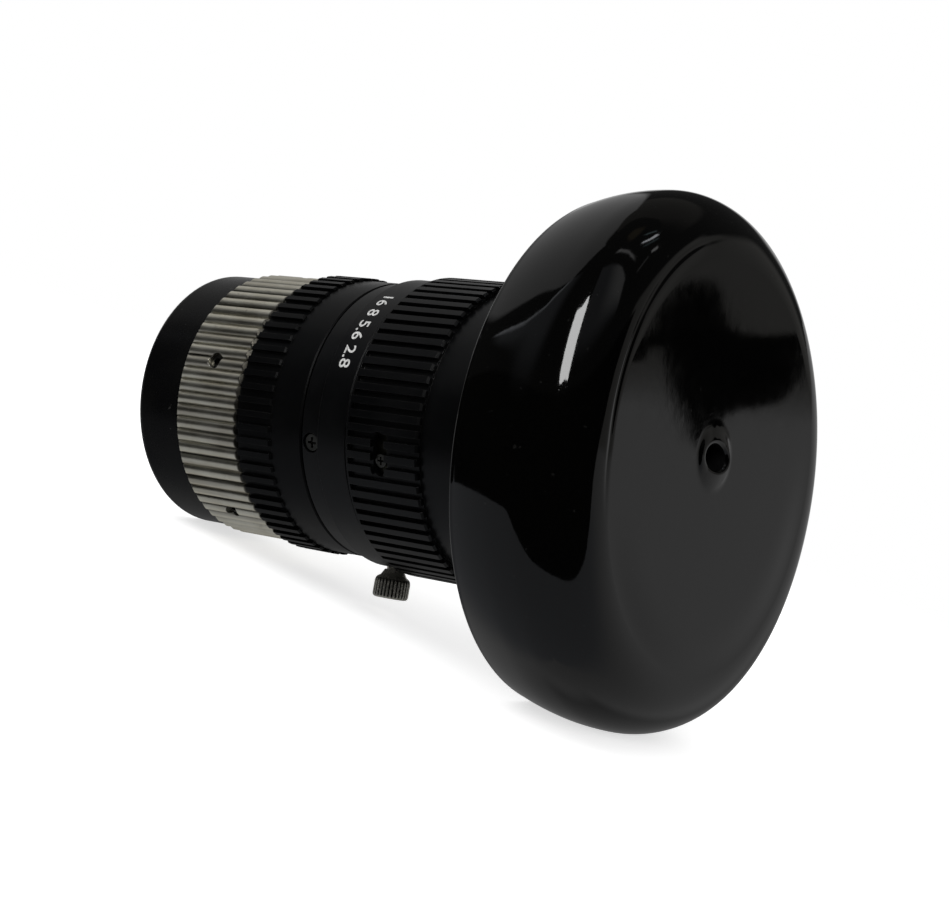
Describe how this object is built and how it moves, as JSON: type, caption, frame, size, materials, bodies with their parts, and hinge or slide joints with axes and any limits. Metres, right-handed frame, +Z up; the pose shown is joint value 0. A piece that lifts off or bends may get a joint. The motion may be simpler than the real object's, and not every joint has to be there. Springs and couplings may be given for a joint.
{
  "type": "machine vision lens",
  "caption": "Wide-angle machine vision lens lying on its side: knurled camera mount ring, iris ring, fluted focus ring, thumbscrew, large front bell under a soft cap, and a rear cap.",
  "frame": {"origin": "centre of the camera mount's flange face, on the optical axis", "axes": "+X along the optical axis towards the front of the lens, +Z up with the thumbscrew pointing down, -Y towards the side that carries the numbers and the small screws"},
  "size_m": [0.075, 0.0618, 0.0618],
  "materials": {
    "black_anodised": "satin black anodised",
    "nickel": "satin nickel plate",
    "dark_nickel_screw": "dark nickel plate",
    "steel_pin": "ground",
    "blackened_steel": "matt blackened",
    "blackened_brass": "blackened",
    "coated_glass": "anti-reflection coated",
    "black_plastic": "semi-gloss",
    "black_vinyl": "high gloss"
  },
  "bodies": {
    "barrel": {"mount_ring": "nickel", "mount_set_screws": "dark_nickel_screw", "main_barrel": "black_anodised", "iris_clamp_screw": "dark_nickel_screw", "iris_base_plate": "black_anodised", "iris_retaining_ring": "black_anodised", "rear_lens_cell": "black_anodised", "rear_element_1": "coated_glass", "rear_spacer_1": "black_anodised", "rear_element_2": "coated_glass", "rear_spacer_2": "black_anodised", "rear_element_3": "coated_glass", "rear_retaining_ring": "black_anodised", "focus_retaining_ring": "black_anodised", "guide_pin": "steel_pin"},
    "iris_control": {"iris_ring": "black_anodised", "iris_drive_ring": "black_anodised", "iris_drive_pin": "steel_pin"},
    "focus_control": {"focus_ring": "black_anodised", "focus_helicoid_ring": "blackened_brass", "focus_clamp_screw": "dark_nickel_screw"},
    "front_group": {"front_barrel": "black_anodised", "front_element_1": "coated_glass", "front_retaining_ring": "black_anodised", "front_element_2": "coated_glass", "second_retaining_ring": "black_anodised", "front_element_3": "coated_glass", "front_spacer": "black_anodised", "front_element_4": "coated_glass", "inner_retaining_ring": "black_anodised"},
    "lock_screw": {"thumbscrew": "dark_nickel_screw"},
    "rear_cap": {"rear_cap": "black_plastic"},
    "front_cap": {"front_cap": "black_vinyl"},
    "blade_1": {"iris_blade_1": "blackened_steel"},
    "blade_2": {"iris_blade_2": "blackened_steel"},
    "blade_3": {"iris_blade_3": "blackened_steel"},
    "blade_4": {"iris_blade_4": "blackened_steel"},
    "blade_5": {"iris_blade_5": "blackened_steel"},
    "blade_6": {"iris_blade_6": "blackened_steel"}
  },
  "joints": [
    {"name": "iris_turn", "type": "hinge", "parent": "barrel", "child": "iris_control", "pos_m": [0, 0, 0], "axis": [-1, 0, 0], "range_deg": [0, 60]},
    {"name": "focus_turn", "type": "hinge", "parent": "barrel", "child": "focus_control", "pos_m": [0, 0, 0], "axis": [1, 0, 0], "range_deg": [0, 181]},
    {"name": "focus_travel", "type": "slide", "parent": "barrel", "child": "front_group", "axis": [1, 0, 0], "range_m": [0, 0.0025]},
    {"name": "lock_screw_turn", "type": "hinge", "parent": "barrel", "child": "lock_screw", "pos_m": [0.0255, 0, -0.0179], "axis": [0, 0, -1], "range_deg": [0, 180]},
    {"name": "rear_cap_off", "type": "slide", "parent": "barrel", "child": "rear_cap", "axis": [-1, 0, 0], "range_m": [0, 0.012]},
    {"name": "front_cap_off", "type": "slide", "parent": "front_group", "child": "front_cap", "axis": [1, 0, 0], "range_m": [0, 0.03]},
    {"name": "blade_1_swing", "type": "hinge", "parent": "barrel", "child": "blade_1", "pos_m": [0.016, 0.01074, 0.0062], "axis": [1, 0, 0], "range_deg": [0, 30]},
    {"name": "blade_2_swing", "type": "hinge", "parent": "barrel", "child": "blade_2", "pos_m": [0.016, 0, 0.0124], "axis": [1, 0, 0], "range_deg": [0, 30]},
    {"name": "blade_3_swing", "type": "hinge", "parent": "barrel", "child": "blade_3", "pos_m": [0.016, -0.01074, 0.0062], "axis": [1, 0, 0], "range_deg": [0, 30]},
    {"name": "blade_4_swing", "type": "hinge", "parent": "barrel", "child": "blade_4", "pos_m": [0.016, -0.01074, -0.0062], "axis": [1, 0, 0], "range_deg": [0, 30]},
    {"name": "blade_5_swing", "type": "hinge", "parent": "barrel", "child": "blade_5", "pos_m": [0.016, 0, -0.0124], "axis": [1, 0, 0], "range_deg": [0, 30]},
    {"name": "blade_6_swing", "type": "hinge", "parent": "barrel", "child": "blade_6", "pos_m": [0.016, 0.01074, -0.0062], "axis": [1, 0, 0], "range_deg": [0, 30]}
  ],
  "couplings": [
    {"joint": "focus_turn", "follows": "focus_travel", "rad_per_m": 1256.6},
    {"joint": "blade_1_swing", "follows": "iris_turn", "ratio": 0.48},
    {"joint": "blade_2_swing", "follows": "iris_turn", "ratio": 0.48},
    {"joint": "blade_3_swing", "follows": "iris_turn", "ratio": 0.48},
    {"joint": "blade_4_swing", "follows": "iris_turn", "ratio": 0.48},
    {"joint": "blade_5_swing", "follows": "iris_turn", "ratio": 0.48},
    {"joint": "blade_6_swing", "follows": "iris_turn", "ratio": 0.48}
  ]
}
